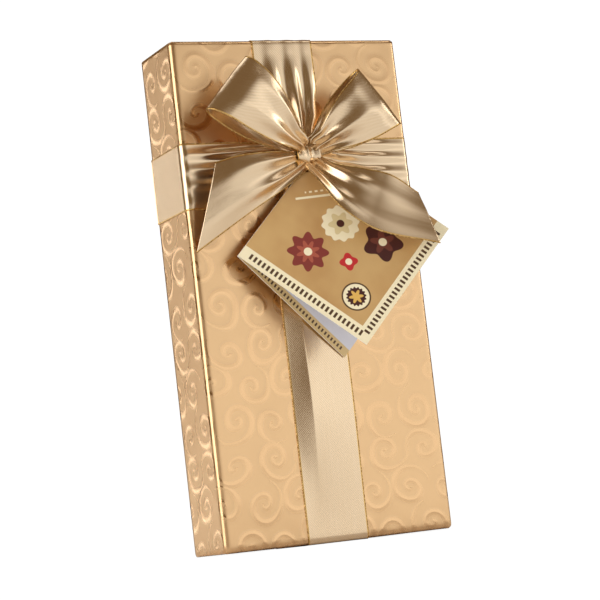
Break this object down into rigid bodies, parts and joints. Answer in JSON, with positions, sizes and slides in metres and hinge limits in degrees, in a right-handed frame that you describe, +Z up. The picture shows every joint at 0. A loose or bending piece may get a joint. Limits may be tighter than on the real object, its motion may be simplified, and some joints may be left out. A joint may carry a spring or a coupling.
{
  "type": "chocolate gift box",
  "caption": "Slim upright gift box of pralines: deep lid over a base, embossed gold wrap, lame ribbon with a bow, and a folded tag that hangs from the knot.",
  "frame": {"origin": "on the surface the box stands on, under the middle of its lower end", "axes": "+Z up along the box, -Y out of the front that carries the bow, +X to the right of the front"},
  "size_m": [0.0971, 0.0631, 0.1928],
  "materials": {
    "wrap": "metallised gift wrap, embossed with swirls",
    "board": "grey box board",
    "ribbon": "woven gold lame with wired gold edges",
    "tag": "printed card, satin",
    "mat": "brown corrugated glassine",
    "divider": "gold faced card",
    "milk_chocolate": "tempered milk chocolate",
    "white_chocolate": "tempered white chocolate",
    "dark_chocolate": "tempered dark chocolate",
    "pad": "quilted wadding pad in brown glassine"
  },
  "bodies": {
    "base": {"base_board": "board", "base_wrap": "wrap", "back_ribbon_vertical": "ribbon", "back_ribbon_horizontal": "ribbon", "praline_mat": "mat"},
    "dividers": {"divider_long_1": "divider", "divider_long_2": "divider", "divider_cross_1": "divider", "divider_cross_2": "divider", "divider_cross_3": "divider", "divider_cross_4": "divider", "divider_cross_5": "divider"},
    "pralines": {"praline_1_1": "dark_chocolate", "praline_1_2": "milk_chocolate", "praline_1_3": "white_chocolate", "praline_2_1": "milk_chocolate", "praline_2_2": "white_chocolate", "praline_2_3": "dark_chocolate", "praline_3_1": "white_chocolate", "praline_3_2": "dark_chocolate", "praline_3_3": "milk_chocolate", "praline_4_1": "dark_chocolate", "praline_4_2": "milk_chocolate", "praline_4_3": "white_chocolate", "praline_5_1": "milk_chocolate", "praline_5_2": "white_chocolate", "praline_5_3": "dark_chocolate", "praline_6_1": "white_chocolate", "praline_6_2": "dark_chocolate", "praline_6_3": "milk_chocolate"},
    "pad": {"cushion_pad": "pad"},
    "lid": {"lid_board": "board", "lid_wrap": "wrap", "end_folds_bottom": "wrap", "end_folds_top": "wrap", "ribbon_vertical": "ribbon", "ribbon_horizontal": "ribbon", "bow_knot": "ribbon", "bow_loop_left": "ribbon", "bow_loop_right": "ribbon", "bow_tail_left": "ribbon", "bow_tail_right": "ribbon", "tag_tie": "ribbon"},
    "tag_back": {"tag_back_leaf": "tag"},
    "tag_front": {"tag_front_leaf": "tag"}
  },
  "joints": [
    {"name": "dividers_out", "type": "slide", "parent": "base", "child": "dividers", "axis": [0, -1, 0], "range_m": [0, 0.026]},
    {"name": "pralines_out", "type": "slide", "parent": "dividers", "child": "pralines", "axis": [0, -1, 0], "range_m": [0, 0.017]},
    {"name": "pad_off", "type": "slide", "parent": "pralines", "child": "pad", "axis": [0, -1, 0], "range_m": [0, 0.008]},
    {"name": "lid_off", "type": "slide", "parent": "pad", "child": "lid", "axis": [0, -1, 0], "range_m": [0, 0.034]},
    {"name": "tag_swing", "type": "hinge", "parent": "lid", "child": "tag_back", "pos_m": [0.00797, -0.02077, 0.13503], "axis": [0, -1, 0], "range_deg": [-5, 5]},
    {"name": "tag_open", "type": "hinge", "parent": "tag_back", "child": "tag_front", "pos_m": [-0.0326, -0.022, 0.1089], "axis": [-0.6961, 0.0002, -0.7179], "range_deg": [-20, 0]}
  ]
}
